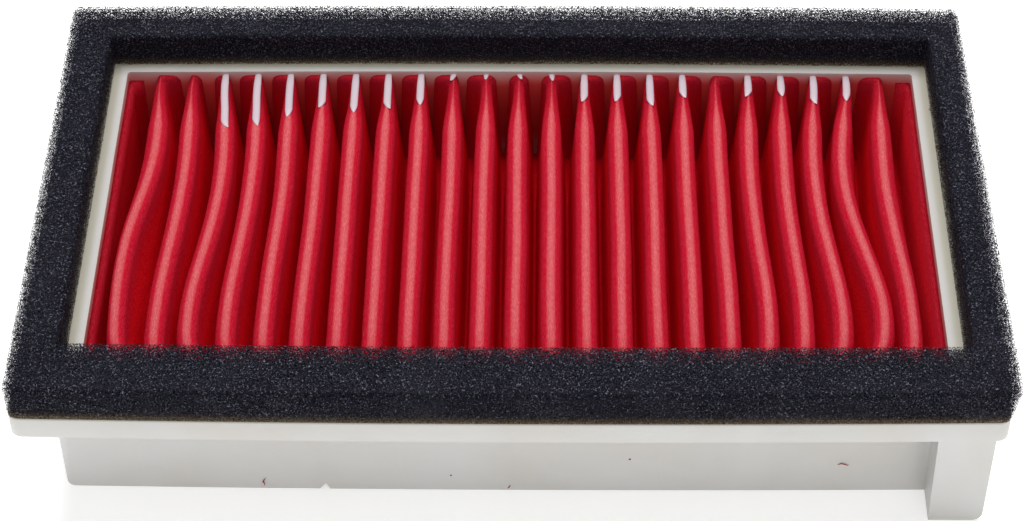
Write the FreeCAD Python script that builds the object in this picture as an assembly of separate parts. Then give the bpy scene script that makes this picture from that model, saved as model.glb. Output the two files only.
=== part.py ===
"""Rectangular panel air filter for a motorcycle airbox.

A moulded plastic frame (flange, skirt and corner leg) holds a pleated element whose ends are
moulded into its walls. A foam gasket is bonded on top of the flange, and a wire screen under
the pleats is held in a groove of the skirt.

Units are millimetres. The origin is the centre of the base, +Z points up to the gasket,
+X runs along the length and the locating leg stands at +X, -Y.
"""
import FreeCAD, Part
import math
import os

V = FreeCAD.Vector

# ---- driving dimensions ---------------------------------------------------------------
length = 235.0               # flange, along X
width = 139.0                # flange, along Y
body_depth = 36.0            # top of the flange to the base of the skirt

flange_thickness = 6.4       # height of the flange's edge
flange_plate = 2.4           # solid top of the flange above its cored underside
flange_rim = 3.2             # wall round the edge of the flange
flange_corner_radius = 3.0
flange_edge_radius = 0.6     # lower outer edge
rib_thickness = 1.6          # ribs across the cored underside
side_rib_count = 7           # along each long side
end_rib_count = 4            # along each short side

body_shift = 1.3             # skirt and window sit this far towards +X on the flange
end_overhang = 7.3           # flange beyond the skirt at the ends, before the shift
side_overhang = 10.3         # flange beyond the skirt at the sides
skirt_end_wall = 6.7
skirt_side_wall = 5.5
skirt_corner_radius = 2.5
skirt_edge_radius = 0.6      # lower outer edge
skirt_draft = 0.35           # the skirt is this much larger all round at the flange

leg_length = 12.9            # along X
leg_width = 21.0             # along Y
leg_front_inset = 1.0        # behind the front edge of the flange
leg_end_inset = 3.3          # inside the end of the flange
leg_wall = 2.2
leg_core_roof = 3.0          # solid left between the leg's core and the flange's coring
leg_edge_radius = 0.6
leg_toe_radius = 2.6         # outer lower corner
leg_draft = 0.4

nick_offset = -46.5          # small moulding nick in the front lower edge, from the skirt's centre
nick_width = 3.2
nick_height = 1.6

media_thickness = 1.4
pleat_count = 24             # valleys along the window
crest_radius = 1.5           # to the middle of the media
valley_radius = 1.1
end_valley_radius = 2.4      # of the first and last valleys, against the end walls
crest_drop = 1.2             # crests below the top of the flange
end_panel_drop = 3.0         # upright end panels below the top of the flange
valley_height = 5.0          # underside of the pleats above the base
pleat_embed = 3.0            # pleat ends moulded into each side wall

gasket_thickness = 9.8
gasket_front_strip = 15.8
gasket_rear_strip = 12.9
gasket_end_ledge = 3.6       # flange left showing between gasket and window at the ends
gasket_corner_radius = 1.0
adhesive_thickness = 0.2
adhesive_inset = 1.0         # adhesive film inside the gasket's edges

wire_diameter = 0.5
wire_pitch = 3.0
screen_gap = 0.5             # under the pleats
screen_embed = 2.0           # depth of the groove that holds the screen

# ---- derived places -------------------------------------------------------------------
skirt_length = length - 2 * end_overhang
skirt_width = width - 2 * side_overhang
window_length = skirt_length - 2 * skirt_end_wall
window_width = skirt_width - 2 * skirt_side_wall
window_left = body_shift - window_length / 2
flange_base = body_depth - flange_thickness
core_roof = body_depth - flange_plate
pleat_pitch = window_length / pleat_count
screen_top = valley_height - screen_gap
screen_base = screen_top - 2 * wire_diameter
leg_right = length / 2 - leg_end_inset
leg_front = leg_front_inset - width / 2
overlap = 1.0                # cutting tools run past the faces they cut


def block(x0, x1, y0, y1, z0, z1):
    return Part.makeBox(x1 - x0, y1 - y0, z1 - z0, V(x0, y0, z0))


def outline(x0, x1, y0, y1, z, radius):
    """Closed rectangle with rounded corners, at height z."""
    corners = [(x1, y0, -90), (x1, y1, 0), (x0, y1, 90), (x0, y0, 180)]
    edges = []
    last = None
    first = None
    for x, y, start in corners:
        cx = x - math.copysign(radius, x - (x0 + x1) / 2)
        cy = y - math.copysign(radius, y - (y0 + y1) / 2)
        points = []
        for turn in (0, 45, 90):
            angle = math.radians(start + turn)
            points.append(V(cx + radius * math.cos(angle), cy + radius * math.sin(angle), z))
        if last is None:
            first = points[0]
        else:
            edges.append(Part.LineSegment(last, points[0]).toShape())
        edges.append(Part.Arc(*points).toShape())
        last = points[2]
    edges.append(Part.LineSegment(last, first).toShape())
    return Part.Wire(edges)


def slab(x0, x1, y0, y1, z0, z1, radius):
    """Upright prism on a rounded rectangle."""
    face = Part.Face(outline(x0, x1, y0, y1, z0, radius))
    return face.extrude(V(0, 0, z1 - z0))


def drafted(x0, x1, y0, y1, z0, z1, radius, draft):
    """Prism on a rounded rectangle, larger by the draft at its top."""
    lower = outline(x0, x1, y0, y1, z0, radius)
    upper = outline(x0 - draft, x1 + draft, y0 - draft, y1 + draft, z1, radius + draft)
    return Part.makeLoft([lower, upper], True, True)


def lower_edges(shape, z, x_limits, y_limits):
    """Edges of a shape that lie in the plane at height z, within the limits given."""
    found = []
    for edge in shape.Edges:
        box = edge.BoundBox
        flat = abs(box.ZMin - z) < 1e-6 and abs(box.ZMax - z) < 1e-6
        inside = x_limits[0] < box.XMin and box.XMax < x_limits[1]
        inside = inside and y_limits[0] < box.YMin and box.YMax < y_limits[1]
        if flat and inside:
            found.append(edge)
    return found


# ---- pleated element ------------------------------------------------------------------
def fold_circles():
    """Centres and radii of the folds from left to right, with +1 for a crest and -1 for a valley."""
    half = media_thickness / 2
    crest_z = body_depth - crest_drop - half - crest_radius
    right_end = window_left + window_length
    circles = []
    for k in range(pleat_count):
        if k == 0:
            x = window_left + half + end_valley_radius
            radius = end_valley_radius
        elif k == pleat_count - 1:
            x = right_end - half - end_valley_radius
            radius = end_valley_radius
        else:
            x = window_left + (k + 0.5) * pleat_pitch
            radius = valley_radius
        circles.append((x, valley_height + half + radius, radius, -1))
        if k < pleat_count - 1:
            circles.append((window_left + (k + 1) * pleat_pitch, crest_z, crest_radius, 1))
    return circles


def flank_angle(a, b):
    """Lean from the upright of the straight flank that joins two neighbouring folds."""
    run = b[0] - a[0]
    rise = abs(b[1] - a[1])
    return math.atan2(run, rise) - math.asin((a[2] + b[2]) / math.hypot(run, rise))


def pleat_side(circles, offset):
    """One face of the folded sheet, offset from its middle: up is positive at a crest."""
    leans = [0.0]
    for a, b in zip(circles, circles[1:]):
        leans.append(flank_angle(a, b))
    leans.append(0.0)
    top = body_depth - end_panel_drop
    edges = []
    last = V(circles[0][0] - circles[0][2] + offset, 0, top)
    start = last
    for k, (x, z, radius, side) in enumerate(circles):
        r = radius + side * offset
        before = leans[k]
        after = leans[k + 1]
        points = []
        for angle in (math.pi + before, (before - after) / 2 - math.pi / 2, -after):
            if side > 0:
                angle = -angle
            points.append(V(x + r * math.cos(angle), 0, z + r * math.sin(angle)))
        edges.append(Part.LineSegment(last, points[0]).toShape())
        edges.append(Part.Arc(*points).toShape())
        last = points[2]
    end = V(last.x, 0, top)
    edges.append(Part.LineSegment(last, end).toShape())
    return edges, start, end


def make_pleated_element():
    circles = fold_circles()
    half = media_thickness / 2
    outer, outer_start, outer_end = pleat_side(circles, half)
    inner, inner_start, inner_end = pleat_side(circles, -half)
    ends = [Part.LineSegment(outer_start, inner_start).toShape(),
            Part.LineSegment(outer_end, inner_end).toShape()]
    wire = Part.Wire(Part.__sortEdges__(outer + inner + ends))
    face = Part.Face(wire)
    reach = window_width + 2 * pleat_embed
    face.translate(V(0, -reach / 2, 0))
    return face.extrude(V(0, reach, 0))


# ---- frame ----------------------------------------------------------------------------
def make_flange():
    x = length / 2
    y = width / 2
    plate = slab(-x, x, -y, y, flange_base, body_depth, flange_corner_radius)
    edges = lower_edges(plate, flange_base, (-length, length), (-width, width))
    plate = plate.makeFillet(flange_edge_radius, edges)
    core_radius = flange_corner_radius - flange_rim / 2
    core = slab(flange_rim - x, x - flange_rim, flange_rim - y, y - flange_rim,
                flange_base - overlap, core_roof, core_radius)
    return plate.cut(core)


def flange_ribs():
    """Webs that tie the rim to the skirt under the flange."""
    ribs = []
    x_rim = length / 2 - flange_rim / 2
    y_rim = width / 2 - flange_rim / 2
    t = rib_thickness / 2
    for k in range(side_rib_count):
        x = body_shift + skirt_length * ((k + 0.5) / side_rib_count - 0.5)
        ribs.append(block(x - t, x + t, -y_rim, y_rim, flange_base + flange_edge_radius, core_roof))
    for k in range(end_rib_count):
        y = skirt_width * ((k + 0.5) / end_rib_count - 0.5)
        ribs.append(block(-x_rim, x_rim, y - t, y + t, flange_base + flange_edge_radius, core_roof))
    return ribs


def make_skirt():
    x0 = body_shift - skirt_length / 2
    x1 = body_shift + skirt_length / 2
    y = skirt_width / 2
    skirt = drafted(x0, x1, -y, y, 0, core_roof + overlap, skirt_corner_radius, skirt_draft)
    edges = lower_edges(skirt, 0, (-length, length), (-width, width))
    return skirt.makeFillet(skirt_edge_radius, edges)


def make_leg():
    """Leg with drafted sides and a round toe, its front edges filleted."""
    left = leg_right - leg_length
    top = core_roof + overlap
    toe = leg_right - leg_toe_radius
    bend = leg_toe_radius * math.sqrt(0.5)
    corners = [V(leg_right, leg_front, leg_toe_radius), V(leg_right + leg_draft, leg_front, top),
               V(left - leg_draft, leg_front, top), V(left, leg_front, 0), V(toe, leg_front, 0)]
    edges = [Part.LineSegment(a, b).toShape() for a, b in zip(corners, corners[1:])]
    edges.append(Part.Arc(corners[-1], V(toe + bend, leg_front, leg_toe_radius - bend), corners[0]).toShape())
    leg = Part.Face(Part.Wire(edges)).extrude(V(0, leg_width, 0))
    rim = [edge for edge in leg.Edges
           if edge.BoundBox.YMax < leg_front + overlap and edge.BoundBox.ZMin < top - overlap]
    return leg.makeFillet(leg_edge_radius, rim)


def make_leg_core():
    """Pocket that lightens the leg from below, between its walls and the skirt's front wall."""
    return block(leg_right - leg_length + leg_wall, leg_right - leg_wall,
                 leg_front + leg_wall, -skirt_width / 2 - leg_wall,
                 -overlap, core_roof - leg_core_roof)


def make_nick():
    x = body_shift + nick_offset
    y = -skirt_width / 2 - overlap
    points = [V(x - nick_width / 2, y, 0), V(x + nick_width / 2, y, 0), V(x, y, nick_height)]
    points.append(points[0])
    nick = Part.Face(Part.makePolygon(points))
    return nick.extrude(V(0, skirt_side_wall, 0))


def make_frame(element):
    frame = make_flange().fuse([make_skirt(), make_leg()] + flange_ribs())
    window = block(window_left, window_left + window_length, -window_width / 2, window_width / 2,
                   -overlap, body_depth + overlap)
    groove = block(window_left - screen_embed, window_left + window_length + screen_embed,
                   -window_width / 2 - screen_embed, window_width / 2 + screen_embed,
                   screen_base, screen_top)
    frame = frame.cut([window, groove, make_leg_core(), make_nick()])
    return frame.cut(element).removeSplitter()


# ---- gasket and its adhesive ----------------------------------------------------------
def ring(inset, z0, z1):
    """Flat ring on the flange, inset from the gasket's outer and inner edges."""
    x = length / 2 - inset
    y = width / 2 - inset
    outer = slab(-x, x, -y, y, z0, z1, flange_corner_radius - inset / 2)
    x0 = window_left - gasket_end_ledge - inset
    x1 = window_left + window_length + gasket_end_ledge + inset
    y0 = -width / 2 + gasket_front_strip - inset
    y1 = width / 2 - gasket_rear_strip + inset
    inner = slab(x0, x1, y0, y1, z0 - overlap, z1 + overlap, gasket_corner_radius)
    return outer.cut(inner)


def make_adhesive():
    return ring(adhesive_inset, body_depth, body_depth + adhesive_thickness)


def make_gasket():
    base = body_depth + adhesive_thickness
    return ring(0.0, base, base + gasket_thickness)


# ---- wire screen ----------------------------------------------------------------------
def spread(span):
    """Evenly spaced places across a span, at the wires' pitch and centred in it."""
    count = int(span / wire_pitch)
    return [(k - (count - 1) / 2) * wire_pitch for k in range(count)]


def make_long_wires():
    reach = window_length + 2 * screen_embed
    z = screen_base + wire_diameter / 2
    wires = []
    for y in spread(window_width):
        start = V(body_shift - reach / 2, y, z)
        wires.append(Part.makeCylinder(wire_diameter / 2, reach, start, V(1, 0, 0)))
    return Part.makeCompound(wires)


def make_cross_wires():
    reach = window_width + 2 * screen_embed
    z = screen_top - wire_diameter / 2
    wires = []
    for x in spread(window_length):
        start = V(body_shift + x, -reach / 2, z)
        wires.append(Part.makeCylinder(wire_diameter / 2, reach, start, V(0, 1, 0)))
    return Part.makeCompound(wires)


# ---- assembly -------------------------------------------------------------------------
element = make_pleated_element()
pieces = {
    "frame": make_frame(element),
    "pleated_element": element,
    "screen_long_wires": make_long_wires(),
    "screen_cross_wires": make_cross_wires(),
    "gasket_adhesive": make_adhesive(),
    "foam_gasket": make_gasket(),
}

os.makedirs("parts", exist_ok=True)
for name, shape in pieces.items():
    shape.exportStep("parts/" + name + ".step")
    box = shape.BoundBox
    print(name, len(shape.Solids), "solids", round(shape.Volume), "mm3",
          "x", round(box.XMin, 2), round(box.XMax, 2),
          "y", round(box.YMin, 2), round(box.YMax, 2),
          "z", round(box.ZMin, 2), round(box.ZMax, 2), shape.isValid())
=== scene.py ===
import math
import bmesh
import bpy
from mathutils import Matrix, Vector


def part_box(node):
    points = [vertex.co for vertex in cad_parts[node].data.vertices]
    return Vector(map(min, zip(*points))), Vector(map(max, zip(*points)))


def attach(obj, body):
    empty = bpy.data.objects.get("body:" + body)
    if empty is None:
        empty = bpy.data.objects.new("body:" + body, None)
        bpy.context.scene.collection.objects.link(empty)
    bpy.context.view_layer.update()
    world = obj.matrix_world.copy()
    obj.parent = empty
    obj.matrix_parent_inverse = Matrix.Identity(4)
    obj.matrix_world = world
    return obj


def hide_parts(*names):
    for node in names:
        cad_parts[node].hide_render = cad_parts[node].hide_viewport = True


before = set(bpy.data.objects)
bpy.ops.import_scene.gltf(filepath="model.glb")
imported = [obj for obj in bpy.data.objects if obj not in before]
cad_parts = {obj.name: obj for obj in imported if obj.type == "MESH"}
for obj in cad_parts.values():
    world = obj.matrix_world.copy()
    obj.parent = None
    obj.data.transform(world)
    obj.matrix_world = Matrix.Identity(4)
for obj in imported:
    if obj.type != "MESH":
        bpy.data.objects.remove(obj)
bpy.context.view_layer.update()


# ---- Pleated element -------------------------------------------------------------------
# One sheet of thick red non-woven, oiled, folded 24 times and set upright in the mould.
# The mould pinches each fold where it meets a side wall, so the crests start there as narrow
# ridges with one flank laid open, and between the walls they sway a little.
pleat_low, pleat_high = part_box("pleated_element")
fold_count = 24
sheet_thickness = 0.0014
crest_bend = 0.0019              # fold radii, to the middle of the sheet
valley_bend = 0.0011
end_valley_bend = 0.0024
end_panel_drop = 0.0018          # end panels below the crests
wall_bite = 0.0014               # sheet goes this far into the side walls
pleat_embed = 0.003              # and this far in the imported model
pleat_left = pleat_low[0]
pleat_right = pleat_high[0]
window_half = pleat_high[1] - pleat_embed
fold_pitch = (pleat_right - pleat_left) / fold_count
sheet_rows = 66
nap_height = 0.00018


class Field:
    """A node's output that is added, multiplied and compared like a number."""
    def __init__(self, socket):
        self.socket = socket
        self.tree = socket.id_data

    def __add__(self, other): return calc("ADD", self, other)
    def __sub__(self, other): return calc("SUBTRACT", self, other)
    def __rsub__(self, other): return calc("SUBTRACT", other, self)
    def __mul__(self, other): return calc("MULTIPLY", self, other)
    def __truediv__(self, other): return calc("DIVIDE", self, other)
    def __rtruediv__(self, other): return calc("DIVIDE", other, self)
    def __pow__(self, other): return calc("POWER", self, other)
    def __mod__(self, other): return calc("MODULO", self, other)
    def __gt__(self, other): return calc("GREATER_THAN", self, other)
    def __lt__(self, other): return calc("LESS_THAN", self, other)
    def __abs__(self): return calc("ABSOLUTE", self)


def feed(socket, value):
    """Sets a node's input to a value, or links it when the value is another node's output."""
    if isinstance(value, Field):
        value.tree.links.new(value.socket, socket)
    else:
        socket.default_value = value


def add_node(tree, kind, inputs=(), **settings):
    """Adds a node to a tree, sets it up and feeds its inputs."""
    added = tree.nodes.new(kind)
    for name, value in settings.items():
        setattr(added, name, value)
    pairs = inputs.items() if isinstance(inputs, dict) else enumerate(inputs)
    for key, value in pairs:
        feed(added.inputs[key], value)
    return added


def step(tree, kind, inputs=(), output=0, **settings):
    return Field(add_node(tree, kind, inputs, **settings).outputs[output])


def calc(operation, *values):
    tree = [value.tree for value in values if isinstance(value, Field)][0]
    return step(tree, "ShaderNodeMath", values, operation=operation)


def ramp(value, start, end, low=0.0, high=1.0):
    """Smooth step from low to high while the value goes from start to end."""
    return step(value.tree, "ShaderNodeMapRange", (value, start, end, low, high),
                interpolation_type="SMOOTHSTEP")


def bell(value, middle, width):
    offset = (value - middle) / width
    return calc("EXPONENT", offset * offset * -1.0)


def split(vector):
    """The X, Y and Z of a vector."""
    return [Field(axis) for axis in add_node(vector.tree, "ShaderNodeSeparateXYZ", (vector,)).outputs]


def joined(tree, x, y, z):
    return step(tree, "ShaderNodeCombineXYZ", (x, y, z))


def position(tree):
    return step(tree, "GeometryNodeInputPosition")


def noise_at(tree, scale, detail, place=None, **more):
    """Noise at a place, or at the point itself where none is given."""
    inputs = {"Scale": scale, "Detail": detail, **more}
    if place:
        inputs["Vector"] = place
    return step(tree, "ShaderNodeTexNoise", inputs)


def moved(geometry, **how):
    """Moves points to a Position or by an Offset."""
    return step(geometry.tree, "GeometryNodeSetPosition", {"Geometry": geometry, **how})


def new_tree(name, kind, inputs, outputs):
    """Node tree of a kind, its named inputs as fields and its output sockets."""
    tree = bpy.data.node_groups.new(name, kind)
    for label, value in inputs.items():
        socket_kind = {float: "Float", int: "Int"}.get(type(value), value)
        socket = tree.interface.new_socket(label, in_out="INPUT", socket_type="NodeSocket" + socket_kind)
        if not isinstance(value, str):
            socket.default_value = value
    for label, socket_kind in outputs.items():
        tree.interface.new_socket(label, in_out="OUTPUT", socket_type="NodeSocket" + socket_kind)
    given = {socket.name: Field(socket) for socket in tree.nodes.new("NodeGroupInput").outputs if socket.name}
    return tree, given, tree.nodes.new("NodeGroupOutput").inputs


def new_geometry_tree(name, sizes):
    return new_tree(name, "GeometryNodeTree", {"Geometry": "Geometry", **sizes}, {"Geometry": "Geometry"})


def end_tree(geometry, given, result):
    """Makes what a tree has built real, gives it its material and puts it out."""
    tree = geometry.tree
    real = step(tree, "GeometryNodeRealizeInstances", {"Geometry": geometry})
    named = step(tree, "GeometryNodeSetMaterial", {"Geometry": real, "Material": given["Material"]})
    feed(result["Geometry"], named)
    return tree


def run_tree(name, source, tree, values):
    """Runs a geometry tree on a source mesh and returns the result as a plain mesh object."""
    host = bpy.data.objects.new(name + "_source", source)
    bpy.context.scene.collection.objects.link(host)
    modifier = host.modifiers.new("nodes", "NODES")
    modifier.node_group = tree
    for item in tree.interface.items_tree:
        if item.item_type == "SOCKET" and item.in_out == "INPUT" and item.name in values:
            modifier[item.identifier] = values[item.name]
    mesh = evaluated_mesh(host)
    host.modifiers.remove(modifier)
    bpy.data.objects.remove(host)
    mesh.name = name
    mesh.materials.clear()
    mesh.materials.append(values["Material"])
    mesh.polygons.foreach_set("material_index", [0] * len(mesh.polygons))
    return new_object(name, mesh)


def evaluated_mesh(solid):
    """What an object's modifiers make of it, as a mesh of its own."""
    graph = bpy.context.evaluated_depsgraph_get()
    return bpy.data.meshes.new_from_object(solid.evaluated_get(graph), depsgraph=graph)


def new_object(name, data):
    added = bpy.data.objects.new(name, data)
    bpy.context.scene.collection.objects.link(added)
    return added


def mesh_of(name, points, lines=(), faces=()):
    mesh = bpy.data.meshes.new(name)
    mesh.from_pydata(points, lines, faces)
    return mesh


def smooth_faces(piece):
    piece.data.polygons.foreach_set("use_smooth", [True] * len(piece.data.polygons))
    piece.data.update()


def fold_bends():
    """Centre, radius and side of each bend from left to right: +1 a crest, -1 a valley."""
    half = sheet_thickness / 2
    crest_z = pleat_high[2] - half - crest_bend
    bends = []
    for k in range(fold_count):
        bend = end_valley_bend if k in (0, fold_count - 1) else valley_bend
        x = pleat_left + (k + 0.5) * fold_pitch
        if k == 0:
            x = pleat_left + half + bend
        if k == fold_count - 1:
            x = pleat_right - half - bend
        bends.append((x, pleat_low[2] + half + bend, bend, -1))
        if k < fold_count - 1:
            bends.append((pleat_left + (k + 1) * fold_pitch, crest_z, crest_bend, 1))
    return bends


def sheet_face(bends, offset):
    """Points along one face of the folded sheet, the same number whatever the offset."""
    leans = [0.0]
    for a, b in zip(bends, bends[1:]):
        run, rise = b[0] - a[0], abs(b[1] - a[1])
        leans.append(math.atan2(run, rise) - math.asin((a[2] + b[2]) / math.hypot(run, rise)))
    leans.append(0.0)
    flank_steps = 5
    top = pleat_high[2] - end_panel_drop
    corners = [(bends[0][0] - bends[0][2] + offset, top)]
    for k, (x, z, bend, side) in enumerate(bends):
        r = bend + side * offset
        start = math.pi + leans[k]
        end = 2 * math.pi - leans[k + 1]
        arc_steps = 10 if side > 0 else 6
        for n in range(arc_steps + 1):
            angle = start + (end - start) * n / arc_steps
            corner = (x + r * math.cos(angle), z - side * r * math.sin(angle))
            if n == 0:
                last = corners[-1]
                for m in range(1, flank_steps):
                    f = m / flank_steps
                    corners.append((last[0] + f * (corner[0] - last[0]), last[1] + f * (corner[1] - last[1])))
            corners.append(corner)
    corners.append((bends[-1][0] + bends[-1][2] - offset, top))
    return corners


settle_values = {
    "Left": pleat_left, "Pitch": fold_pitch, "Folds": float(fold_count), "Half Width": window_half,
    "Valley Height": pleat_low[2], "Crest Height": pleat_high[2]}


def settle_folds_tree():
    """Moves points of straight even folds to where the moulded, used folds lie."""
    tree, given, result = new_geometry_tree("settle_folds", {
        **settle_values, "Pinch": 2.3, "Pinch Reach": 0.021, "Front Pinch Reach": 0.009,
        "Flare": 0.42, "Flare Reach": 0.0018, "Turned End Folds": 2.0,
        "Sway": 0.0018, "Wobble": 0.0008, "First Fold Bulge": 0.003, "Late Fold Kink": 0.0012})
    folds, pitch, half_width = given["Folds"], given["Pitch"], given["Half Width"]

    # place: the fold's number from the left, the share of its pitch, and the way in from the wall
    x, y, z = split(position(tree))
    along = (x - given["Left"]) / pitch
    along = calc("MINIMUM", calc("MAXIMUM", along, 0.0), folds - 0.0001)
    index = calc("FLOOR", along)
    u = along - index
    depth = calc("MAXIMUM", half_width - abs(y), 0.0)
    inner = (along > 0.5) * (along < folds - 0.5)

    # pinch: each crest narrows towards the walls
    flare = ramp(depth, 0.0003, given["Flare Reach"], 1.0, 0.0)
    shorter = given["Front Pinch Reach"] - given["Pinch Reach"]
    pinch_reach = (y < 0.0) * shorter + given["Pinch Reach"]
    pinch = ramp(depth, 0.0, pinch_reach, 1.0, 0.0) * (1.0 - flare) * inner
    power = (given["Pinch"] - 1.0) * pinch + 1.0
    from_middle = u * 2.0 - 1.0
    narrowed = (1.0 - abs(from_middle)) ** power
    u1 = calc("SIGN", from_middle) * ((1.0 - narrowed) * 0.5) + 0.5

    # flare: at the wall itself the flank away from the middle is laid open
    centre = folds * 0.5
    from_centre = index + 0.5 - centre
    right = from_centre > 0.0
    turned_end = abs(from_centre) > centre - given["Turned End Folds"]
    right = abs(right - turned_end)
    strength = flare * ramp(abs(from_centre), 0.6, 1.4) * (bell(index, 2.0, 0.4) * -0.7 + 1.0)
    spread = (given["Flare"] - 1.0) * strength + 1.0
    turned = right * (u1 * 2.0 - 1.0) + (1.0 - u1)
    opened = turned ** spread
    u2 = right * (opened * 2.0 - 1.0) + (1.0 - opened)
    x1 = (index + u2) * pitch + given["Left"]

    # sway: each fold bends sideways as one, towards the middle behind and outwards in front
    fold = index + ramp(u, 0.3, 0.7)
    outward = fold - centre
    forward = calc("MAXIMUM", (half_width - y) / (half_width * 2.0), 0.0) ** 1.3
    wave = calc("SINE", forward * (2 * math.pi)) * -1.0
    drift = noise_at(tree, 1.0, 1.0, joined(tree, fold * 3.7, y * 26.0, 0.0)) - 0.5
    uneven = calc("SINE", fold * 2.4) * 0.3 + 0.9
    amount = given["Sway"] * ramp(abs(outward), 4.5, 9.5) * uneven
    kink = given["Late Fold Kink"] * bell(fold, folds - 2.0, 0.8)
    amount = (amount + kink) * calc("SIGN", outward)
    shift = drift * given["Wobble"] + amount * wave
    bulge = bell(fold, 1.0, 0.6) * bell(y, -0.004, 0.022)
    shift = shift - bulge * given["First Fold Bulge"]
    held = ramp(along, 0.3, 0.9) * ramp(folds - along, 0.3, 0.9) * ramp(depth, 0.0, 0.014)
    held = held * ramp(z, given["Valley Height"], given["Crest Height"], 0.25, 1.0)
    x2 = shift * held + x1
    z2 = drift * held * (given["Wobble"] * 0.4) + z
    feed(result["Geometry"], moved(given["Geometry"], Position=joined(tree, x2, y, z2)))
    return tree


settle_folds = settle_folds_tree()


def use_settle(geometry, given):
    """Places the settling tree in another tree that has the same inputs."""
    inputs = {label: given[label] for label in settle_values}
    return step(geometry.tree, "GeometryNodeGroup", {"Geometry": geometry, **inputs}, node_tree=settle_folds)


def pleated_sheet_tree():
    """Sweeps the sheet's folded section from wall to wall and settles its folds."""
    tree, given, result = new_geometry_tree("pleated_sheet", {
        **settle_values, "Section Points": 3, "Rows": 3, "Bite": 0.0, "Nap": 0.0001, "Material": "Material"})
    count = given["Section Points"]
    grid = step(tree, "GeometryNodeMeshGrid", {"Vertices X": count + 1.0, "Vertices Y": given["Rows"]})
    across, along, _ = split(position(tree))
    column = calc("ROUND", (across + 0.5) * count) % count
    v = along * 2.0
    eased = v * 1.5 - v * v * v * 0.5
    section = step(tree, "GeometryNodeSampleIndex", {
        "Geometry": given["Geometry"], "Value": position(tree), "Index": column}, data_type="FLOAT_VECTOR")
    lift = joined(tree, 0.0, eased * (given["Half Width"] + given["Bite"]), 0.0)
    swept = moved(grid, Position=step(tree, "ShaderNodeVectorMath", (section, lift), operation="ADD"))
    closed = step(tree, "GeometryNodeMergeByDistance", {"Geometry": swept, "Distance": 1e-6})
    closed = step(tree, "GeometryNodeStoreNamedAttribute", {
        "Geometry": closed, "Name": "fold_height", "Value": split(position(tree))[2]})
    settled = use_settle(closed, given)
    nap = (noise_at(tree, 330.0, 2.0) - 0.5) * given["Nap"]
    return end_tree(moved(settled, Offset=along_normal(tree, nap)), given, result)


def along_normal(tree, distance, normal=None):
    normal = normal or step(tree, "GeometryNodeInputNormal")
    return step(tree, "ShaderNodeVectorMath", {0: normal, "Scale": distance}, operation="SCALE")


def new_shader_group(name, inputs, outputs):
    """Shader node group whose outputs are masks, colours and heights only."""
    return new_tree(name, "ShaderNodeTree", inputs, dict.fromkeys(outputs, "Float"))


def new_material(name, **sockets):
    """Material with a Principled shader, whose even values are set on its own sockets."""
    material = bpy.data.materials.new(name)
    material.use_nodes = True
    shader = material.node_tree.nodes["Principled BSDF"]
    for label, value in sockets.items():
        shader.inputs[label.replace("_", " ")].default_value = value
    return material, material.node_tree, shader.inputs


def place_group(tree, group, **values):
    """Places a group in a material and returns its outputs."""
    inputs = {label.replace("_", " "): value for label, value in values.items()}
    return [Field(socket) for socket in add_node(tree, "ShaderNodeGroup", inputs, node_tree=group).outputs]


def mix_colour(factor, low, high):
    return step(factor.tree, "ShaderNodeMix", {0: factor, 6: low, 7: high}, output=2, data_type="RGBA")


def bump(height, strength, distance):
    return step(height.tree, "ShaderNodeBump", {"Height": height, "Strength": strength, "Distance": distance})


def object_place(tree):
    return step(tree, "ShaderNodeTexCoord", output="Object")


def fibre_group():
    """Matted fibres: a mask of light fibre tops and clumps, from stretched noise two ways."""
    group, given, result = new_shader_group("matted_fibres", {"Scale": 2000.0}, ["Fibres", "Clumps"])
    place = object_place(group)
    layers = []
    for turn in (0.5, 2.1):
        turned = step(group, "ShaderNodeMapping", {
            "Vector": place, "Rotation": (0.3, turn, turn), "Scale": (1.0, 0.22, 1.0)})
        layers.append(noise_at(group, given["Scale"], 2.0, turned))
    feed(result["Fibres"], ramp(calc("MAXIMUM", *layers), 0.42, 0.74))
    feed(result["Clumps"], noise_at(group, given["Scale"] * 0.12, 3.0, place))
    return group


matted_fibres = fibre_group()
fibre_scale = 4200.0
# The flank and crest reds are painted: brighter down the flanks and duller on the crests, making up for shade
# in the folds and strong light on the crests. The darkest red is painted shade at the walls, the pink a
# painted highlight, the fibre pink partly painted sheen, and the daylight red a painted glow.
flank_red = (0.62, 0.0, 0.006, 1)        # linear colours
crest_red = (0.38, 0.003, 0.018, 1)
clump_red = (0.26, 0.0, 0.007, 1)
shade_red = (0.17, 0.0, 0.005, 1)
highlight_pink = (0.41, 0.072, 0.080, 1)
fibre_sheen_pink = (0.66, 0.22, 0.23, 1)
daylight_red = (0.036, 0.0, 0.0005, 1)


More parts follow.
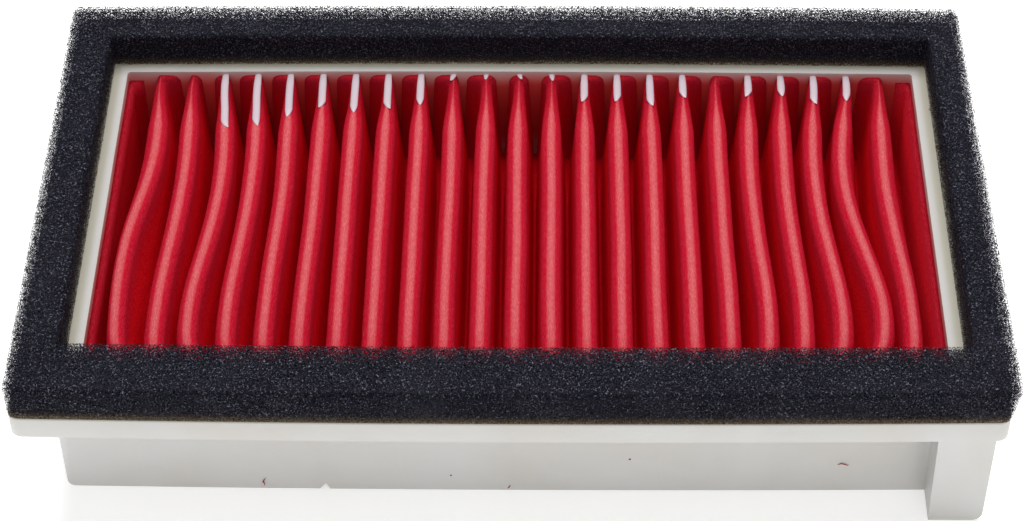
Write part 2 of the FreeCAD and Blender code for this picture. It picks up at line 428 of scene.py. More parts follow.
def red_media():
    """Red non-woven: a painted highlight along its crests, painted shade where the walls grip it and on its
    end panels, and a painted deep red glow inside its folds that stands in for daylight through the sheet."""
    material, tree, shader = new_material("red_nonwoven", Roughness=0.85, IOR=1.05,
                                          Emission_Strength=1.0)
    fibres, clumps = place_group(tree, matted_fibres, Scale=fibre_scale)
    x, y, _ = split(object_place(tree))
    height = step(tree, "ShaderNodeAttribute", output="Fac", attribute_name="fold_height")
    crest, valley = pleat_high[2], pleat_low[2]
    from_middle = abs(x - (pleat_left + pleat_right) / 2)
    half_sheet = (pleat_right - pleat_left) / 2
    # painted light: brighter red lower down the flanks, duller red at the crests
    near_crest = ramp(height, crest - 0.010, crest - 0.002)
    # painted highlight: a narrow pale band along the top of each crest where the light falls, faded towards
    # the walls
    highlight_band = ramp(height, crest - 0.0004, crest + 0.00012)
    # painted shade: the sheet darker where the walls grip it, and on the end panels beside the end walls
    grip_shade = ramp(abs(y), window_half - 0.003, window_half - 0.0004)
    end_panel_shade = ramp(from_middle, half_sheet - 0.0026, half_sheet - 0.001)
    painted_wall_shade = calc("MAXIMUM", grip_shade, end_panel_shade)
    tapering = ramp(abs(y), window_half - 0.016, window_half - 0.004, 1.0, 0.35)
    painted_highlight = highlight_band * (painted_wall_shade * -0.9 + 0.95) * tapering
    body = mix_colour(near_crest, flank_red, crest_red)
    body = mix_colour(clumps * 0.35, body, clump_red)
    body = mix_colour(painted_wall_shade * 0.7, body, shade_red)
    body = mix_colour(painted_highlight, body, highlight_pink)
    # pale fibre tops: partly the fibre grain, partly painted sheen, strongest on the painted crest highlight
    feed(shader["Base Color"], mix_colour(fibres * (painted_highlight * 0.3 + 0.07), body, fibre_sheen_pink))
    # painted glow: deep red emission inside the folds, standing in for light through the sheet and bounced
    # between the folds
    painted_glow = ramp(height, crest - 0.0003, crest - 0.003) * ramp(height, valley, valley + 0.003)
    feed(shader["Emission Color"], mix_colour(painted_glow, (0.0, 0.0, 0.0, 1), daylight_red))
    feed(shader["Normal"], bump(fibres, 0.5, 0.00016))
    feed(shader["Roughness"], ramp(clumps, 0.3, 0.7, 0.75, 0.9))
    return material


bends = fold_bends()
upper_face = sheet_face(bends, sheet_thickness / 2)
lower_face = sheet_face(bends, -sheet_thickness / 2)
section_points = upper_face + lower_face[::-1]
section_mesh = mesh_of("folded_section", [(x, 0, z) for x, z in section_points])
media_material = red_media()
media = run_tree("red_pleats", section_mesh, pleated_sheet_tree(), {
    **settle_values, "Section Points": len(section_points), "Rows": sheet_rows, "Bite": wall_bite,
    "Nap": nap_height, "Material": media_material})


def cap_sheet_ends(piece):
    """Closes the sheet's two cut ends, which are inside the walls, with faces across its thickness."""
    shell = bmesh.new()
    shell.from_mesh(piece.data)
    shell.verts.ensure_lookup_table()
    total = len(section_points)
    for row in (0, sheet_rows - 1):
        for k in range(total // 2 - 1):
            ring = [k, k + 1, total - 2 - k, total - 1 - k]
            shell.faces.new([shell.verts[i * sheet_rows + row] for i in ring])
    bmesh.ops.recalc_face_normals(shell, faces=shell.faces)
    shell.to_mesh(piece.data)
    shell.free()


cap_sheet_ends(media)
smooth_faces(media)
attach(media, "root")
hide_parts("pleated_element")


# ---- Moulded frame ---------------------------------------------------------------------
# Off-white polypropylene, injection moulded round the ends of the sheet in one shot: a flange
# that is cored and ribbed underneath, a drafted skirt and a hollow locating leg at one corner.
# Its long sides bow out a little.
frame_low, frame_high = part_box("frame")
flange_thickness = 0.0064
flange_plate = 0.0024
flange_rim = 0.0032
flange_corner = 0.003
skirt_end_wall = 0.0067
skirt_side_wall = 0.0055
skirt_corner = 0.0025
window_corner = 0.0008
skirt_draft = 0.00035
long_side_bow = 0.0011
rib_thickness = 0.0016
rib_bite = 0.001                 # ribs go this far into what they join
side_ribs = 7
end_ribs = 4
leg_length = 0.0129
leg_width = 0.021
leg_front_inset = 0.001
leg_end_inset = 0.0033
leg_wall = 0.0022
leg_toe = 0.0026                 # round outer lower corner
leg_draft = 0.0004
leg_roof = 0.003                 # solid plastic over the leg's core
nick_place = -0.0453             # small moulding nick in the front lower edge
nick_width = 0.0032
nick_height = 0.0021
edge_round = 0.0005
half_length = frame_high[0]
half_width = frame_high[1]
skirt_left = pleat_left - skirt_end_wall
skirt_right = pleat_right + skirt_end_wall
skirt_half = window_half + skirt_side_wall
roof = frame_high[2] - flange_plate
rim_base = frame_high[2] - flange_thickness
leg_right = half_length - leg_end_inset
leg_left = leg_right - leg_length
leg_front = leg_front_inset - half_width


def bowed(x, y):
    """Moves a point with the bow of the long sides, keeping the mean width."""
    swell = long_side_bow * (0.5 - (x / half_length) ** 2)
    return y * (1 + swell / half_width)


def rounded_ring(x0, x1, y0, y1, z, radius, long_steps=24, short_steps=10, corner_steps=6):
    """Points round a rectangle with rounded corners, anticlockwise from the front right."""
    left, right, front, back = x0 + radius, x1 - radius, y0 + radius, y1 - radius
    arcs = []
    for x, y, start in ((right, front, -90), (right, back, 0), (left, back, 90), (left, front, 180)):
        turns = [math.radians(start + 90 * n / corner_steps) for n in range(corner_steps + 1)]
        arcs.append([(x + radius * math.cos(a), y + radius * math.sin(a)) for a in turns])
    points = []
    for k, arc in enumerate(arcs):
        (ax, ay), (bx, by) = arc[-1], arcs[(k + 1) % 4][0]
        side_steps = long_steps if k % 2 else short_steps
        points += arc
        points += [(ax + n / side_steps * (bx - ax), ay + n / side_steps * (by - ay))
                   for n in range(1, side_steps)]
    return [(x, bowed(x, y), z) for x, y in points]


def solid_from_rings(name, rings, hollow):
    """Closed solid through rings of equal point counts: joined end to end if hollow, else capped."""
    count = len(rings[0])
    shell = bmesh.new()
    rows = [[shell.verts.new(point) for point in ring] for ring in rings]
    pairs = list(zip(rows, rows[1:]))
    if hollow:
        pairs.append((rows[-1], rows[0]))
    else:
        shell.faces.new(rows[0])
        shell.faces.new(rows[-1])
    for low, high in pairs:
        for k in range(count):
            following = (k + 1) % count
            shell.faces.new((low[k], low[following], high[following], high[k]))
    bmesh.ops.recalc_face_normals(shell, faces=shell.faces)
    mesh = bpy.data.meshes.new(name)
    shell.to_mesh(mesh)
    shell.free()
    return new_object(name, mesh)


def box_solid(name, low, high):
    corners = [(low[0], low[1]), (high[0], low[1]), (high[0], high[1]), (low[0], high[1])]
    return solid_from_rings(name, [[(x, y, z) for x, y in corners] for z in (low[2], high[2])], False)


def bake_modifiers(solid):
    """Replaces an object's mesh with what its modifiers make of it."""
    mesh = evaluated_mesh(solid)
    solid.modifiers.clear()
    solid.data = mesh


def combine(solid, tool, operation):
    cut = solid.modifiers.new("combine", "BOOLEAN")
    cut.operation = operation
    cut.object = tool
    cut.solver = "EXACT"
    bake_modifiers(solid)
    bpy.data.objects.remove(tool)


def moulded_body():
    rings = []
    for x, y, z, radius in (
            (half_length, half_width, frame_high[2], flange_corner),
            (half_length, half_width, rim_base, flange_corner),
            (half_length - flange_rim, half_width - flange_rim, rim_base, flange_corner - flange_rim / 2),
            (half_length - flange_rim, half_width - flange_rim, roof, flange_corner - flange_rim / 2)):
        rings.append(rounded_ring(-x, x, -y, y, z, radius))
    for grown, z in ((skirt_draft, roof), (0.0, frame_low[2])):
        rings.append(rounded_ring(skirt_left - grown, skirt_right + grown, -skirt_half - grown,
                                  skirt_half + grown, z, skirt_corner + grown))
    for z in (frame_low[2], frame_high[2]):
        rings.append(rounded_ring(pleat_left, pleat_right, -window_half, window_half, z, window_corner))
    return solid_from_rings("moulded_frame", rings, True)


def locating_leg():
    """The leg, cut away where it would stand inside the window."""
    top = roof + flange_plate / 2
    profile = [(leg_right + leg_draft, top), (leg_left - leg_draft, top), (leg_left, frame_low[2])]
    for n in range(9):
        angle = math.pi / 16 * n
        profile.append((leg_right - leg_toe * (1 - math.sin(angle)),
                        frame_low[2] + leg_toe * (1 - math.cos(angle))))
    leg = solid_from_rings("leg", [[(x, y, z) for x, z in profile]
                                   for y in (leg_front, leg_front + leg_width)], False)
    window = box_solid("window", (leg_left - leg_length, -window_half - edge_round, -leg_length),
                       (pleat_right + edge_round, 0.0, 2 * frame_high[2]))
    combine(leg, window, "DIFFERENCE")
    return leg


def leg_core():
    return box_solid("leg_core", (leg_left + leg_wall, leg_front + leg_wall, -leg_wall),
                     (leg_right - leg_wall, -skirt_half - leg_wall, roof - leg_roof))


def ribs_under_flange():
    """Webs between the rim and the skirt, as low and high corners of boxes."""
    inside = rib_bite
    t = rib_thickness / 2
    low, high = rim_base + 2 * edge_round, roof + inside
    boxes = []
    for k in range(side_ribs):
        x = (skirt_left + skirt_right) / 2 + (skirt_right - skirt_left) * ((k + 0.5) / side_ribs - 0.5)
        y0, y1 = skirt_half - inside, half_width - flange_rim + inside
        boxes.append(((x - t, y0, low), (x + t, y1, high)))
        boxes.append(((x - t, -y1, low), (x + t, -y0, high)))
    for k in range(end_ribs):
        y = 2 * skirt_half * ((k + 0.5) / end_ribs - 0.5)
        for near, far in ((skirt_right - inside, half_length - flange_rim + inside),
                          (flange_rim - inside - half_length, skirt_left + inside)):
            boxes.append(((near, y - t, low), (far, y + t, high)))
    return boxes


def moulding_nick():
    outside = -skirt_half - window_corner
    inside = outside + skirt_side_wall + 2 * window_corner
    rings = [[(nick_place - nick_width / 2, y, -nick_height / 4),
              (nick_place + nick_width / 2, y, -nick_height / 4),
              (nick_place + nick_width / 8, y, nick_height)] for y in (outside, inside)]
    return solid_from_rings("nick", rings, False)


def sharpen_edges(piece, degrees):
    """Marks edges sharper than an angle, so that shading is smooth between them."""
    shell = bmesh.new()
    shell.from_mesh(piece.data)
    for edge in shell.edges:
        edge.smooth = len(edge.link_faces) == 2 and edge.calc_face_angle(0.0) < math.radians(degrees)
    for face in shell.faces:
        face.smooth = True
    shell.to_mesh(piece.data)
    shell.free()


def plastic_group():
    """Moulded plastic: fine grain height, wide flow clouds and a few specks of dirt."""
    group, given, result = new_shader_group(
        "moulded_plastic", {"Grain Scale": 1800.0}, ["Grain", "Clouds", "Specks"])
    place = object_place(group)
    feed(result["Grain"], noise_at(group, given["Grain Scale"], 3.0, place))
    feed(result["Clouds"], noise_at(group, 32.0, 3.0, place, Distortion=0.6))
    cells = step(group, "ShaderNodeTexVoronoi", {"Vector": place, "Scale": 110.0})
    rare = ramp(noise_at(group, 60.0, 1.0, place), 0.6, 0.66)
    feed(result["Specks"], ramp(cells, 0.03, 0.05, 1.0, 0.0) * rare)
    return group


moulded_plastic = plastic_group()
cloudy_share = (0.97, 0.94, 0.9, 1)
# The grey top is painted shade on the flange's top face, from the foam and against the strong light from
# above; the cream is partly yellowing and partly that shade.
flange_top_shade_grey = (0.35, 0.337, 0.325, 1)
flange_top_cream_and_shade = (0.30, 0.28, 0.22, 1)
dirt_brown = (0.16, 0.11, 0.09, 1)


def white_plastic(name, body, stain_and_bounce_colour, stain_and_bounce_start, stain_and_bounce_end, top_shade_and_yellowing=0.0):
    """Off-white plastic: red-brown on the window's inner walls, partly a stain from the oiled sheet and
    partly painted red bounce light and shade, and a top face painted darker as shade under the foam and
    against the strong light from above, creamier towards the foam, partly yellowing.
    """
    material, tree, shader = new_material(name, Roughness=0.42, Specular_IOR_Level=0.4)
    grain, clouds, specks = place_group(tree, moulded_plastic, Grain_Scale=1800.0)
    colour = mix_colour(ramp(clouds, 0.35, 0.7), body, [c * f for c, f in zip(body, cloudy_share)])
    x, y, z = split(object_place(tree))
    middle = (pleat_left + pleat_right) / 2
    beyond_end = abs(x - middle) - (pleat_right - middle)
    beyond = calc("MAXIMUM", beyond_end, abs(y) - window_half)
    inside = beyond < edge_round
    height = (clouds - 0.5) * 0.006 + z
    # red-brown on the window's inner walls, darkening downwards: partly a stain from the oiled sheet, partly
    # painted red bounce light and shade
    stain_and_bounce = ramp(height, stain_and_bounce_start, stain_and_bounce_end) * ramp(height, 0.003, 0.016, 0.1, 1.0)
    # painted shade on the flange's top face, with some yellowing
    painted_top_shade = ramp(z, frame_high[2] - 0.0007, frame_high[2] - 0.0001) * top_shade_and_yellowing
    colour = mix_colour(painted_top_shade, colour, flange_top_shade_grey)
    colour = mix_colour(painted_top_shade * ramp(beyond, 0.0008, 0.0026), colour, flange_top_cream_and_shade)
    colour = mix_colour(inside * stain_and_bounce * (1.0 - painted_top_shade), colour, stain_and_bounce_colour)
    feed(shader["Base Color"], mix_colour(specks * 0.7, colour, dirt_brown))
    feed(shader["Roughness"], ramp(clouds, 0.3, 0.7, 0.36, 0.5))
    feed(shader["Normal"], bump(grain, 0.25, 0.00005))
    return material


frame_material = white_plastic("offwhite_polypropylene", (0.478, 0.474, 0.462, 1.0), (0.42, 0.034, 0.032, 1),
                               frame_high[2] + 0.0036, frame_high[2] - 0.005, top_shade_and_yellowing=0.9)
moulding = moulded_body()
combine(moulding, locating_leg(), "UNION")
for rib_low, rib_high in ribs_under_flange():
    combine(moulding, box_solid("rib", rib_low, rib_high), "UNION")
combine(moulding, leg_core(), "DIFFERENCE")
combine(moulding, moulding_nick(), "DIFFERENCE")
edge = moulding.modifiers.new("edge", "BEVEL")
edge.width = edge_round
edge.segments = 3
edge.limit_method = "ANGLE"
edge.angle_limit = math.radians(40)
bake_modifiers(moulding)
sharpen_edges(moulding, 38)
moulding.data.materials.append(frame_material)
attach(moulding, "root")
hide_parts("frame")


# ---- Flash on the folds ----------------------------------------------------------------
# Where the mould doesn't seal on a crest, plastic runs out over it from the rear wall and
# sets as a thin white tongue. It is part of the frame's shot and holds the fold's tip.
tongue_lengths = {3: 20.4, 4: 19.7, 5: 16.2, 6: 12.6, 7: 14.5, 8: 13.0, 9: 11.5, 10: 1.8, 11: 1.4,
                  12: 1.2, 13: 1.8, 14: 10.0, 15: 9.9, 16: 11.5, 17: 8.4, 19: 7.8, 20: 7.7,
                  21: 10.6, 22: 9.4}      # millimetres, by the fold's number from the left
tongue_half_width = 0.00100
tongue_tip = 0.0024
tongue_rise = 0.00042
tongue_root = 0.0012             # goes this far into the wall
tongue_steps = 18


def tongue_tree():
    """Gives each line along a crest a flat rounded section that narrows at its tip."""
    tree, given, result = new_geometry_tree("flash_tongues", {
        **settle_values, "Tongue Half Width": 0.001, "Rise": 0.0004, "Tip": 0.003, "Lean": 0.0,
        "Material": "Material"})
    curve = step(tree, "GeometryNodeMeshToCurve", {"Mesh": use_settle(given["Geometry"], given)})
    along = step(tree, "GeometryNodeSplineParameter", output="Length")
    whole = step(tree, "GeometryNodeSplineLength", output="Length")
    left_over = (whole - along) / given["Tip"]
    tip = calc("SQRT", calc("MAXIMUM", calc("MINIMUM", left_over, 1.0), 0.006))
    wide = tip * ramp(along, 0.0, 0.005, 0.82, 1.0)
    side = calc("SINE", split(position(tree))[0] * given["Lean"])
    missing = (1.0 - tip) * given["Tongue Half Width"]
    leaned = moved(curve, Offset=joined(tree, missing * side, 0.0, 0.0))
    ring = circle(tree, 14, given["Tongue Half Width"])
    flat = joined(tree, 1.0, given["Rise"] / given["Tongue Half Width"], 1.0)
    profile = step(tree, "GeometryNodeTransform", {"Geometry": ring, "Scale": flat})
    return end_tree(swept_curve(leaned, profile, Scale=wide, smooth=True), given, result)


def circle(tree, points, radius):
    return step(tree, "GeometryNodeCurvePrimitiveCircle", {"Resolution": points, "Radius": radius})


def swept_curve(curve, profile, smooth=False, **scale):
    """Solid with closed ends that a profile makes along a curve."""
    solid = step(curve.tree, "GeometryNodeCurveToMesh", {
        "Curve": curve, "Profile Curve": profile, **scale, "Fill Caps": True})
    return step(curve.tree, "GeometryNodeSetShadeSmooth", {"Geometry": solid}) if smooth else solid


def tongue_lines():
    points, lines = [], []
    for fold, length in tongue_lengths.items():
        x = pleat_left + fold * fold_pitch
        for n in range(tongue_steps + 1):
            y = window_half + tongue_root - (length / 1000 + tongue_root) * (n / tongue_steps) ** 0.7
            if n:
                lines.append((len(points) - 1, len(points)))
            points.append((x, y, pleat_high[2]))
    return mesh_of("tongue_lines", points, lines)


flash_material = white_plastic("flash_plastic", (0.385, 0.32, 0.36, 1.0), (0.385, 0.22, 0.28, 1),
                               frame_high[2] - 0.0005, frame_high[2] - 0.02)
flash = run_tree("fold_flash", tongue_lines(), tongue_tree(), {
    **settle_values, "Tongue Half Width": tongue_half_width, "Rise": tongue_rise, "Tip": tongue_tip,
    "Lean": 900.0, "Material": flash_material})
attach(flash, "root")


# ---- Stray fibres ----------------------------------------------------------------------
# Loose red fibres from the sheet, and a few dark crumbs, left stuck to the plastic after
# moulding. Each is given by its middle, its length and the way it lies.
front_face = -skirt_half - long_side_bow / 2
stray_fibres = (((-0.0601, front_face, 0.0026), 0.0024, 1.35), ((0.0, front_face, 0.0014), 0.0015, 0.5),
                ((0.0805, front_face + 0.0002, 0.0099), 0.0026, 0.05))
stray_crumbs = (((0.0291, front_face, 0.0118), 0.0006, 0.6), ((-0.0143, front_face, 0.0055), 0.0005, 0.3),
                ((0.0815, 0.0574, frame_high[2]), 0.0009, 0.2))
fibre_radius = 0.00014
crumb_radius = 0.0002


def stray_lines(strays):
    """Short straight lines, of nine points each, lying along the front face or the flange."""
    points, lines = [], []
    for (x, y, z), length, turn in strays:
        for n in range(9):
            f = (n / 8 - 0.5) * length
            if n:
                lines.append((len(points) - 1, len(points)))
            points.append((x + f * math.cos(turn), y, z + f * math.sin(turn)))
    return mesh_of("stray_lines", points, lines)


def stray_tree():
    """Curls each line a little and gives it a round section that thins at both ends."""
    tree, given, result = new_geometry_tree("stray_fibres", {
        "Radius": 0.0001, "Curl": 0.0005, "Material": "Material"})
    curve = step(tree, "GeometryNodeMeshToCurve", {"Mesh": given["Geometry"]})
    noise = step(tree, "ShaderNodeTexNoise", {"Scale": 700.0, "Detail": 1.0}, output="Color")
    centred = step(tree, "ShaderNodeVectorMath", (noise, (0.5, 0.5, 0.5)), operation="SUBTRACT")
    curl = joined(tree, given["Curl"], 0.0, given["Curl"])
    offset = step(tree, "ShaderNodeVectorMath", (centred, curl), operation="MULTIPLY")
    along = step(tree, "GeometryNodeSplineParameter", output="Factor")
    wide = calc("SINE", along * (math.pi * 0.8) + math.pi * 0.1)
    solid = swept_curve(moved(curve, Offset=offset), circle(tree, 6, given["Radius"]), Scale=wide)
    return end_tree(solid, given, result)


def crumb_dust():
    material, tree, shader = new_material("crumb_dust", Roughness=0.8)
    grime = noise_at(tree, 2500.0, 2.0, object_place(tree))
    feed(shader["Base Color"], mix_colour(grime, (0.012, 0.010, 0.012, 1), (0.06, 0.045, 0.05, 1)))
    feed(shader["Normal"], bump(grime, 0.5, 0.0001))
    return material


scatter_strays = stray_tree()
fibres = run_tree("stray_fibres", stray_lines(stray_fibres), scatter_strays,
                  {"Radius": fibre_radius, "Curl": 0.0022, "Material": media_material})
crumbs = run_tree("stray_crumbs", stray_lines(stray_crumbs), scatter_strays,
                  {"Radius": crumb_radius, "Curl": 0.0002, "Material": crumb_dust()})
for strays, slot_name in ((fibres, "filter_media"), (crumbs, "frame_plastic")):
    smooth_faces(strays)
    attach(strays, "root")


# ---- Wire screen -----------------------------------------------------------------------
# Galvanised steel wire, woven plain with each wire passing over and under the ones it
# crosses. It carries the folds on the clean side, and its edges are moulded into the skirt.
long_low, long_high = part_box("screen_long_wires")
cross_low, cross_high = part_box("screen_cross_wires")
wire_diameter = 0.0005
wire_pitch = 0.003
wire_sides = 6
screen_level = (long_low[2] + cross_high[2]) / 2


def wire_tree():
    """Makes crimped wires from straight lines: Turn is 0 for wires along X and 1 along Y."""
    tree, given, result = new_geometry_tree("crimped_wires", {
        "Diameter": 0.0005, "Pitch": 0.003, "First X": 0.0, "First Y": 0.0, "Turn": 0.0, "Sides": 6,
        "Material": "Material"})
    pitch = given["Pitch"]
    curve = step(tree, "GeometryNodeMeshToCurve", {"Mesh": given["Geometry"]})
    short = {"Curve": curve, "Length": pitch / 4.0}
    resampled = step(tree, "GeometryNodeResampleCurve", short, mode="LENGTH")
    x, y, _ = split(position(tree))
    phase = (x - given["First X"]) / pitch + (y - given["First Y"]) / pitch + given["Turn"]
    radius = given["Diameter"] * 0.5
    crimped = moved(resampled, Offset=joined(tree, 0.0, 0.0, calc("COSINE", phase * math.pi) * radius))
    solid = swept_curve(crimped, circle(tree, given["Sides"], radius), smooth=True)
    return end_tree(solid, given, result)


def wire_places(low, high):
    """Evenly spaced places of the wires between two limits, one wire's width inside them."""
    first = low + wire_diameter / 2
    count = round((high - low - wire_diameter) / wire_pitch)
    return [first + k * wire_pitch for k in range(count + 1)]


def wire_lines(starts, ends):
    return mesh_of("wire_lines", starts + ends, [(k, k + len(starts)) for k in range(len(starts))])


def galvanised_wire():
    material, tree, shader = new_material("galvanised_wire", Metallic=1.0, Roughness=0.38)
    place = object_place(tree)
    spangle = step(tree, "ShaderNodeTexVoronoi", {"Vector": place, "Scale": 900.0}, output="Color")
    dulled = noise_at(tree, 240.0, 3.0, place)
    colour = mix_colour(spangle, (0.52, 0.53, 0.54, 1), (0.72, 0.73, 0.74, 1))
    feed(shader["Base Color"], mix_colour(ramp(dulled, 0.5, 0.7), colour, (0.36, 0.35, 0.33, 1)))
    feed(shader["Roughness"], ramp(dulled, 0.35, 0.7, 0.28, 0.55))
    feed(shader["Normal"], bump(dulled, 0.2, 0.00003))
    return material


weave = wire_tree()
wire_rows = wire_places(long_low[1], long_high[1])
wire_columns = wire_places(cross_low[0], cross_high[0])
weave_values = {"Diameter": wire_diameter, "Pitch": wire_pitch, "First X": wire_columns[0],
                "First Y": wire_rows[0], "Sides": wire_sides, "Material": galvanised_wire()}
long_lines = [[(end[0], y, screen_level) for y in wire_rows] for end in (long_low, long_high)]
cross_lines = [[(x, end[1], screen_level) for x in wire_columns] for end in (cross_low, cross_high)]
long_wires = run_tree("woven_long_wires", wire_lines(*long_lines), weave, {**weave_values, "Turn": 0.0})
cross_wires = run_tree("woven_cross_wires", wire_lines(*cross_lines), weave, {**weave_values, "Turn": 1.0})
for wires, node_name in ((long_wires, "screen_long_wires"), (cross_wires, "screen_cross_wires")):
    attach(wires, "root")
    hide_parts(node_name)


# ---- Gasket adhesive -------------------------------------------------------------------
# A clear film of pressure-sensitive adhesive that comes on the die-cut foam ring and sticks
# it to the flange. Only its edge shows, as a thin milky line.
def adhesive_film():
    material, tree, shader = new_material("gasket_film", Roughness=0.3, Coat_Weight=0.2)
    haze = noise_at(tree, 420.0, 3.0, object_place(tree))
    feed(shader["Base Color"], mix_colour(haze, (0.30, 0.27, 0.20, 1), (0.55, 0.52, 0.43, 1)))
    feed(shader["Roughness"], ramp(haze, 0.3, 0.7, 0.22, 0.45))
    feed(shader["Normal"], bump(haze, 0.3, 0.00005))
    return material


film_material = adhesive_film()
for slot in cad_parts["gasket_adhesive"].material_slots:
    slot.material = film_material


# ---- Foam gasket -----------------------------------------------------------------------
# Charcoal open-cell polyurethane foam, die-cut as one ring and stuck to the flange. Its cells
# are about 0.7 mm across, and cut ones leave loose struts all over its surface. It is built
# from the inside out: a pitted core, scattered cut cells, and thin open lace round them;
# the core and cut cells are painted darker than the lace, as shade deep inside the foam.
gasket_low, gasket_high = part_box("foam_gasket")
gasket_front_strip = 0.0158
gasket_rear_strip = 0.0129
gasket_end_ledge = 0.0036
gasket_inner_corner = 0.0006
gasket_outer_corner = 0.002
gasket_round = 0.0012            # where the knife drags the cut edges over
foam_step = 0.0007
cell_size = 0.0007
lace_insets = (0.0, 0.0005, 0.0011, 0.0018)
core_inset = 0.0026
gasket_lean = 0.0018             # top leans out over the flange at the leg's corner
cell_strut = 0.00011
cell_density = 0.75e6            # cut cells on a square metre of skin
lace_wall = 0.13                 # share of a cell that is strut
smallest_cell = 0.6              # shares of the cell size
largest_cell = 1.35
full_turn = 6.283


def gasket_section(inset, spacing):
    """The ring's section as (share from outer to inner edge, distance inwards, height) steps."""
    r = gasket_round
    h = gasket_high[2] - gasket_low[2] - inset
    wall = h - r
    side = max(round(wall / spacing), 2)
    top = max(round(gasket_rear_strip / spacing), 4)
    turns = [math.pi / 8 * n for n in range(5)]
    steps = [(0, inset, wall * n / side) for n in range(side)]
    steps += [(0, inset + r * (1 - math.cos(a)), h - r + r * math.sin(a)) for a in turns]
    steps += [(n / top, (inset + r) * (1 - 2 * n / top), h) for n in range(1, top)]
    steps += [(1, -inset - r * (1 - math.cos(a)), h - r + r * math.sin(a)) for a in turns[::-1]]
    steps += [(1, -inset, wall * n / side) for n in range(side - 1, -1, -1)]
    steps += [(1 - n / 4, inset * (n / 2 - 1), 0.0) for n in range(1, 4)]
    return steps


def foam_ring(inset, spacing):
    """Closed ring inside the gasket's outline by the inset, standing on the adhesive."""
    sides = [max(round(2 * half / spacing), 12) for half in (half_length, half_width)]
    outer = rounded_ring(-half_length, half_length, -half_width, half_width, 0, gasket_outer_corner, *sides)
    inner = rounded_ring(pleat_left - gasket_end_ledge, pleat_right + gasket_end_ledge,
                         gasket_front_strip - half_width, half_width - gasket_rear_strip, 0,
                         gasket_inner_corner, *sides)
    rings = []
    for share, inwards, height in gasket_section(inset, spacing):
        ring = []
        for a, b in zip(outer, inner):
            f = share + inwards / math.hypot(b[0] - a[0], b[1] - a[1])
            x, y = a[0] + f * (b[0] - a[0]), a[1] + f * (b[1] - a[1])
            lean = max((x - pleat_right) / (half_length - pleat_right), 0) * (0.5 - y / half_width / 2)
            lean *= gasket_lean * height / (gasket_high[2] - gasket_low[2])
            ring.append((x + lean, y, gasket_low[2] + height))
        rings.append(ring)
    solid = solid_from_rings("foam_ring", rings, True)
    mesh = solid.data
    bpy.data.objects.remove(solid)
    return mesh


def rough_core_tree():
    """Pits a foam body all over, except at its foot where it is stuck down."""
    tree, given, result = new_geometry_tree("foam_core", {
        "Cell Size": 0.0005, "Pits": 0.0002, "Waviness": 0.0004, "Base": 0.0, "Material": "Material"})
    base = given["Base"]
    free = ramp(split(position(tree))[2], base, base + 0.0008)
    cells = step(tree, "ShaderNodeTexVoronoi", {"Scale": 0.62 / given["Cell Size"]})
    inwards = (cells - 0.75) * given["Pits"]
    push = (noise_at(tree, 85.0, 2.0) - 0.55) * given["Waviness"] + inwards
    return end_tree(moved(given["Geometry"], Offset=along_normal(tree, push * free)), given, result)


def cut_cells_tree():
    """Scatters cut cells, as small bent rings, through the outer layer of a foam body."""
    tree, given, result = new_geometry_tree("cut_cells", {
        "Cell Size": 0.0005, "Strut": 0.0001, "Density": 1e6, "Base": 0.0, "Depth": 0.001, "Seed": 7,
        "Material": "Material"})
    above = split(position(tree))[2] > given["Base"] + 0.0001
    scatter = add_node(tree, "GeometryNodeDistributePointsOnFaces", {
        "Mesh": given["Geometry"], "Selection": above, "Density": given["Density"],
        "Seed": given["Seed"]}).outputs
    random = "FunctionNodeRandomValue"
    sink = step(tree, random, {2: -1.0, 3: 0.0, "Seed": 9}, output=1) * given["Depth"]
    sunk = along_normal(tree, sink, Field(scatter["Normal"]))
    cell = step(tree, "GeometryNodeCurveToMesh", {
        "Curve": circle(tree, 5, given["Cell Size"] * 0.5),
        "Profile Curve": circle(tree, 3, given["Strut"] * 0.5)})
    turn = step(tree, random, {0: (0.0, 0.0, 0.0), 1: (full_turn,) * 3, "Seed": 3}, data_type="FLOAT_VECTOR")
    grow = step(tree, random, {2: smallest_cell, 3: largest_cell, "Seed": 5}, output=1)
    placed = step(tree, "GeometryNodeInstanceOnPoints", {
        "Points": moved(Field(scatter["Points"]), Offset=sunk), "Instance": cell,
        "Rotation": turn, "Scale": grow})
    return end_tree(placed, given, result)


def foam_cells_group():
    """Open cells: Walls is 1 on the struts between cells, Glints is 1 where a strut shines."""
    group, given, result = new_shader_group(
        "foam_cells", {"Cell Size": 0.0005, "Wall": 0.3}, ["Walls", "Glints"])
    place = object_place(group)
    pores = step(group, "ShaderNodeTexVoronoi", {"Vector": place, "Scale": 1.0 / given["Cell Size"]},
                 feature="DISTANCE_TO_EDGE")
    feed(result["Walls"], pores < given["Wall"] * 0.5)
    feed(result["Glints"], ramp(noise_at(group, 1.3 / given["Cell Size"], 1.0, place), 0.57, 0.70))
    return group


foam_cells = foam_cells_group()


def charcoal_foam(name, open_cells, dark_low, dark_high, glint):
    """Near-black foam: blue-grey glints on its struts and brown light at its foot."""
    material, tree, shader = new_material(name, Roughness=0.8, Specular_IOR_Level=0.06)
    place = object_place(tree)
    walls, glints = place_group(tree, foam_cells, Cell_Size=cell_size, Wall=lace_wall)
    clouds = noise_at(tree, 70.0, 3.0, place)
    colour = mix_colour(glints, mix_colour(clouds, dark_low, dark_high), glint)
    foot = ramp(split(place)[2], gasket_low[2], gasket_low[2] + 0.0024, 0.75, 0.0)
    feed(shader["Base Color"], mix_colour(foot, colour, (0.085, 0.056, 0.028, 1)))
    feed(shader["Roughness"], ramp(clouds, 0.4, 0.7, 0.8, 0.6))
    feed(shader["Normal"], bump(glints, 0.6, 0.0003))
    if open_cells:
        feed(shader["Alpha"], walls)
    return material


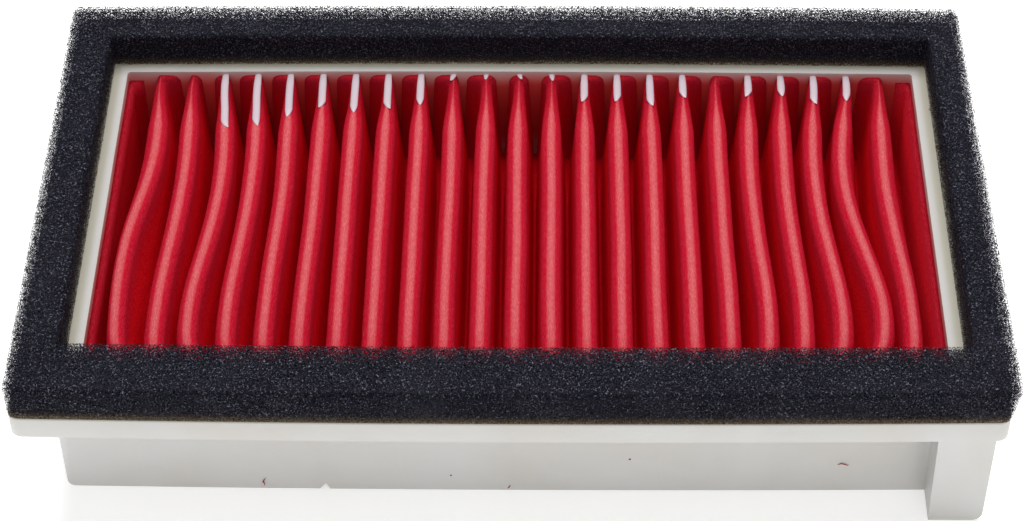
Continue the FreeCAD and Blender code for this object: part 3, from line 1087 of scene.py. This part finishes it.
# The core and cut cells are painted darker than the lace, as shade deep inside the foam; the lace's brighter
# glints are painted highlights.
foam_material = charcoal_foam("charcoal_foam", False, (0.003, 0.003, 0.005, 1), (0.006, 0.006, 0.010, 1),
                              (0.09, 0.09, 0.13, 1))
lace_material = charcoal_foam("charcoal_foam_lace", True, (0.006, 0.006, 0.010, 1), (0.012, 0.012, 0.020, 1),
                              (0.12, 0.12, 0.155, 1))
foam_values = {"Cell Size": cell_size, "Base": gasket_low[2], "Material": foam_material}
foam = run_tree("open_cell_gasket", foam_ring(core_inset, foam_step), rough_core_tree(), {
    **foam_values, "Pits": 0.0004, "Waviness": 0.0005})
cut_cells = run_tree("cut_cells", foam_ring(0.0, foam_step * 3), cut_cells_tree(), {
    **foam_values, "Strut": cell_strut, "Density": cell_density, "Depth": core_inset, "Seed": 7})
lace = bmesh.new()
lace.from_mesh(foam.data)
lace.from_mesh(cut_cells.data)
bpy.data.objects.remove(cut_cells)
for lace_inset in lace_insets:
    shell_mesh = foam_ring(lace_inset, foam_step * 6)
    shell_mesh.polygons.foreach_set("material_index", [1] * len(shell_mesh.polygons))
    lace.from_mesh(shell_mesh)
foam.data.materials.append(lace_material)
lace.to_mesh(foam.data)
lace.free()
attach(foam, "root")
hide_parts("foam_gasket")


# ---- Studio ----------------------------------------------------------------------------
# A sheet of pale paper that glows a little, one large soft light above and a weaker one in front.
floor_size = 6.0
corners = [(-floor_size, -floor_size, 0), (floor_size, -floor_size, 0),
           (floor_size, floor_size, 0), (-floor_size, floor_size, 0)]
floor = new_object("floor", mesh_of("floor", corners, faces=[(0, 1, 2, 3)]))
floor.data.materials.append(new_material(
    "floor_paper", Base_Color=(0.95, 0.95, 0.95, 1), Roughness=0.95,
    Emission_Color=(1.0, 1.0, 1.0, 1), Emission_Strength=0.36)[0])

world = bpy.data.worlds.new("studio")
bpy.context.scene.world = world
world.use_nodes = True
backdrop = world.node_tree.nodes["Background"].inputs
backdrop["Color"].default_value = (1.0, 1.0, 1.0, 1)
backdrop["Strength"].default_value = 0.5


def soft_light(name, place, aim, size, power):
    light = bpy.data.lights.new(name, "AREA")
    light.shape = "RECTANGLE"
    light.size, light.size_y = size
    light.energy = power
    lamp = new_object(name, light)
    lamp.location = place
    lamp.rotation_euler = (Vector(aim) - Vector(place)).to_track_quat("-Z", "Y").to_euler()


soft_light("overhead", (0.0, 0.3, 1.1), (0, 0, 0.03), (1.0, 0.7), 18.5)
soft_light("front_fill", (0.0, -1.2, 0.5), (0, 0, 0.02), (1.4, 0.6), 4.0)

camera_data = bpy.data.cameras.new("camera")
camera_data.lens = 97.88
camera_data.sensor_width = 36.0
camera_data.clip_start = 0.01
camera = new_object("camera", camera_data)
camera_place = Vector((0.00891, -0.49971, 0.48736 + frame_high[2]))
look = Vector((-0.0126, 0.70419, -0.7099)).normalized()
across = Vector((0.99991, 0.01151, -0.00633))
across = (across - across.dot(look) * look).normalized()
upward = across.cross(look)
camera.matrix_world = Matrix((
    (across.x, upward.x, -look.x, camera_place.x),
    (across.y, upward.y, -look.y, camera_place.y),
    (across.z, upward.z, -look.z, camera_place.z),
    (0, 0, 0, 1)))
bpy.context.scene.camera = camera
bpy.context.scene.view_settings.view_transform = "Standard"
